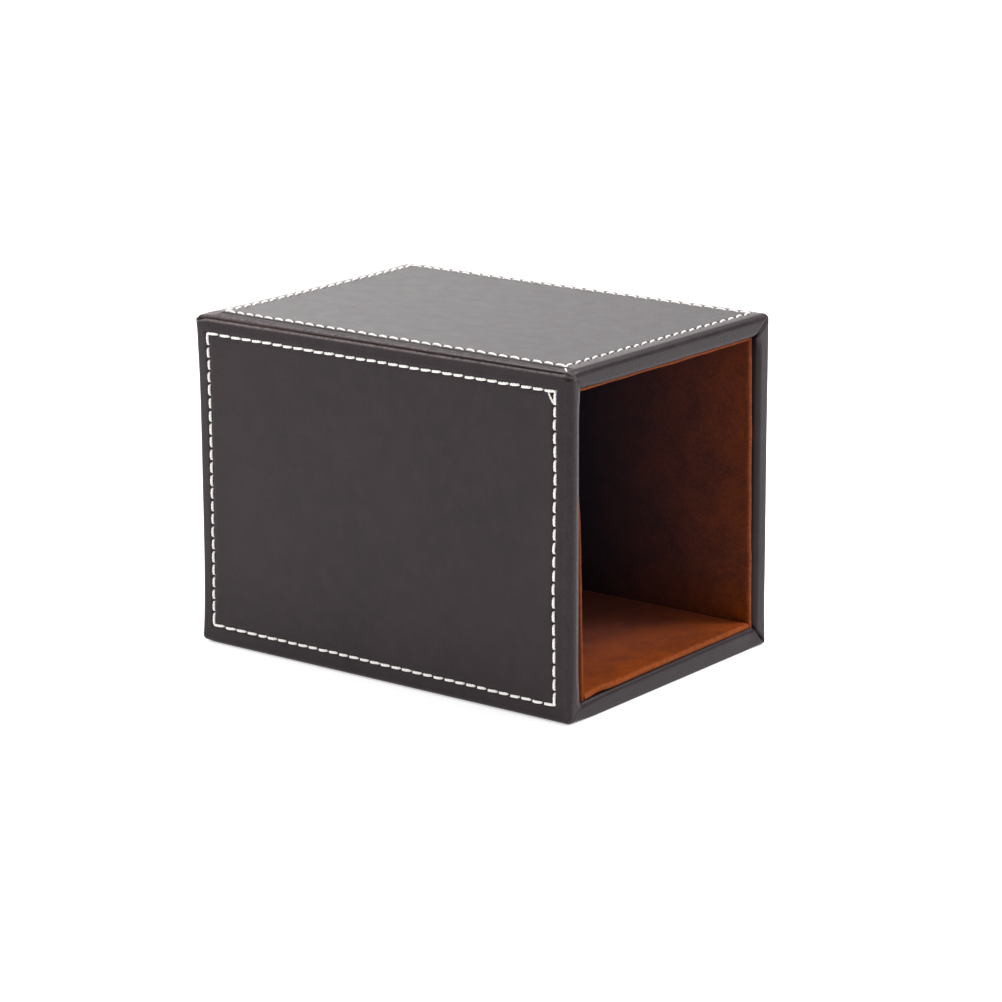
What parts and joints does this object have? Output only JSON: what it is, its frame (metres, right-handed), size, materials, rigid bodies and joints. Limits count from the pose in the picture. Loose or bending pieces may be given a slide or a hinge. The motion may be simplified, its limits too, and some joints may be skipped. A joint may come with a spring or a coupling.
{
  "type": "pen holder",
  "caption": "Square desk pen holder: a board box wrapped in dark brown stitched leather, lined with orange-brown suede and open at one end, lying on its side.",
  "frame": {"origin": "centre of the footprint of the side that the holder lies on, at that side's surface", "axes": "+X out of the open mouth, +Z up as it lies on its side; turning it so that +X points up stands it on its base end for use"},
  "size_m": [0.1026, 0.075, 0.076],
  "materials": {
    "jacket_leather": "fine-grained synthetic leather, dark brown, satin",
    "thread": "twisted cream sewing thread",
    "lining_suede": "orange-brown microsuede with a short nap",
    "underside_suede": "dark brown microsuede with a short nap",
    "wall_board": "medium-density fibreboard, cut and eased",
    "lining_card": "grey bookbinding card"
  },
  "bodies": {
    "root": {"leather_jacket": "jacket_leather", "front_wall_board": "wall_board", "front_face_stitching": "thread", "front_lining_card": "lining_card", "front_lining_suede": "lining_suede", "back_wall_board": "wall_board", "back_face_stitching": "thread", "back_lining_card": "lining_card", "back_lining_suede": "lining_suede", "top_wall_board": "wall_board", "top_face_stitching": "thread", "top_lining_card": "lining_card", "top_lining_suede": "lining_suede", "bottom_wall_board": "wall_board", "bottom_face_stitching": "thread", "bottom_lining_card": "lining_card", "bottom_lining_suede": "lining_suede", "base_board": "wall_board", "base_lining_card": "lining_card", "base_lining_suede": "lining_suede", "underside_infill_card": "lining_card", "underside_suede": "underside_suede"}
  },
  "joints": []
}
